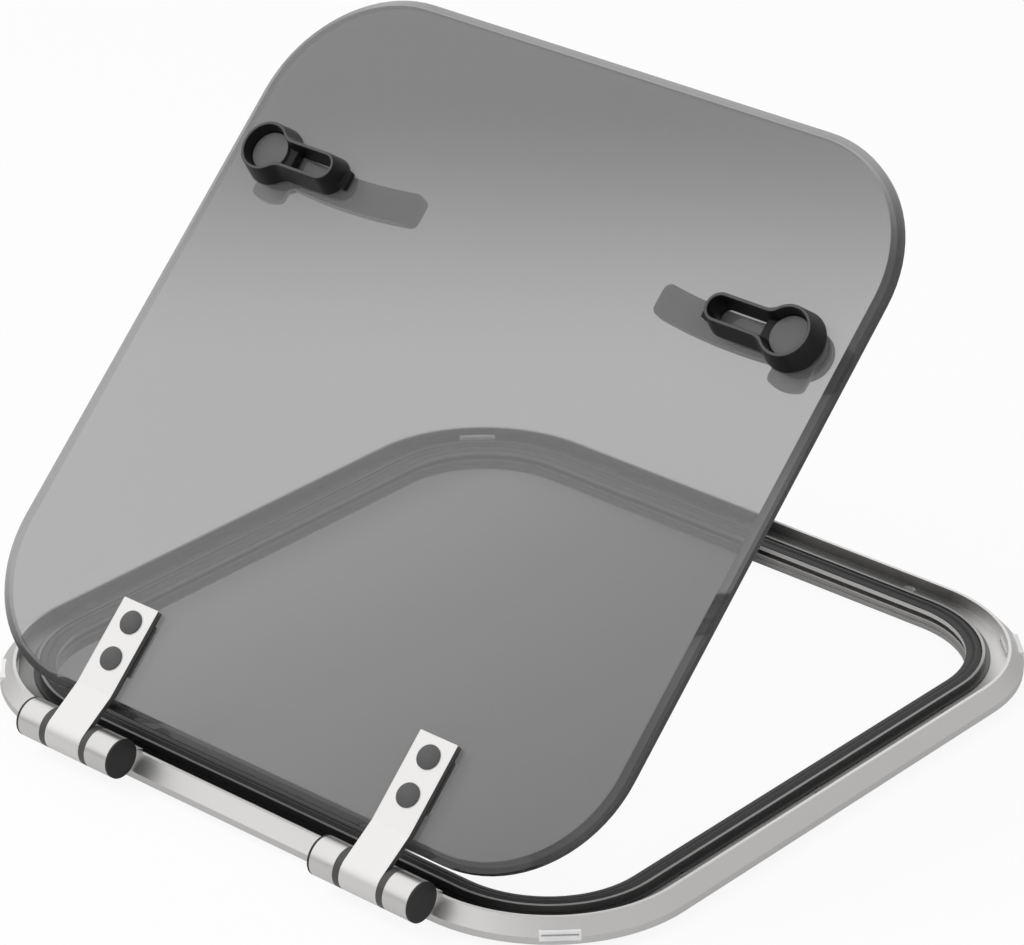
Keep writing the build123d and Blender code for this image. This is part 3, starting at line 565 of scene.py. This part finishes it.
# World and lamps
studio = {
    "bright": 1.0,
    "dim": 0.62,  # the surroundings to the right
    "side": (0.55, -0.45),  # where dim turns to bright, across the hatch
    "diffuseLevel": 0.85,
    "horizon": 0.30,  # the surroundings are darker low down
    "rise": (0.02, 0.36),
}
lamps = {
    "key": {"place": (-1.1, -1.6, 2.3), "target": (0, 0, 0.1), "size": 1.5, "power": 36.0},
    "fill": {"place": (1.8, -1.2, 1.6), "target": (0, 0, 0.1), "size": 1.6, "power": 9.0},
}


def makeWorld():
    world = bpy.data.worlds.new("studio")
    bpy.context.scene.world = world
    graph = Graph(world)
    right, up = graph.node("ShaderNodeTexCoord", out="Generated").parts("XZ")
    lit = right.step(*studio["side"]).blend(studio["dim"], studio["bright"])
    lit = lit * up.step(*studio["rise"]).blend(studio["horizon"], 1.0)
    path = graph.node("ShaderNodeLightPath")
    seen = path["Is Camera Ray"].math("MAXIMUM", path["Is Transmission Ray"])
    around = lit * path["Is Glossy Ray"].blend(studio["diffuseLevel"], 1.0)
    colour = graph.mixColour(seen.blend(around, 1.0), grey(0.0), grey(1.0))
    light = graph.node("ShaderNodeBackground", {}, {"Color": colour})
    graph.node("ShaderNodeOutputWorld", {}, {"Surface": light})


def areaLamp(name, place, target, size, power):
    data = bpy.data.lights.new(name, "AREA")
    data.shape = "DISK"
    data.size = size
    data.energy = power
    lamp = bpy.data.objects.new(name, data)
    lamp.location = place
    lamp.rotation_euler = (Vector(target) - Vector(place)).to_track_quat("-Z", "Y").to_euler()
    lamp.visible_glossy = False  # the surroundings make the reflections
    lamp.visible_transmission = False
    bpy.context.scene.collection.objects.link(lamp)


makeWorld()
for name, lamp in lamps.items():
    areaLamp(name, **lamp)
print("lamps done")


# Camera, at the photograph's angle
view = {
    "azimuth": 40.10,
    "elevation": 26.85,
    "roll": 0.99,
    "distance": 2.5894,
    "target": (0.0158, -0.0284, 0.1367),
    "focalPixels": 4396.3,  # for an image 1024 wide
    "centreX": 507.9,
    "centreY": 489.9,
    "imageWidth": 1024,
    "imageHeight": 945,
    "sensor": 36.0,
    "nearest": 0.05,
    "farthest": 50.0,
}


def makeCamera():
    around = math.radians(view["azimuth"])
    rise = math.radians(view["elevation"])
    roll = math.radians(view["roll"])
    back = Vector((math.sin(around) * math.cos(rise), -math.cos(around) * math.cos(rise), math.sin(rise)))
    level = Vector((0, 0, 1)).cross(back).normalized()
    upright = back.cross(level)
    right = level * math.cos(roll) + upright * math.sin(roll)
    up = upright * math.cos(roll) - level * math.sin(roll)
    data = bpy.data.cameras.new("camera")
    data.sensor_width = view["sensor"]
    data.lens = view["focalPixels"] * view["sensor"] / view["imageWidth"]
    data.shift_x = (view["imageWidth"] / 2 - view["centreX"]) / view["imageWidth"]
    data.shift_y = (view["centreY"] - view["imageHeight"] / 2) / view["imageWidth"]
    data.clip_start = view["nearest"]
    data.clip_end = view["farthest"]
    camera = bpy.data.objects.new("camera", data)
    turn = Matrix((right, up, back)).transposed().to_4x4()
    camera.matrix_world = Matrix.Translation(Vector(view["target"]) + back * view["distance"]) @ turn
    bpy.context.scene.collection.objects.link(camera)
    bpy.context.scene.camera = camera


makeCamera()
bpy.context.scene.view_settings.view_transform = "Standard"
print("camera done")
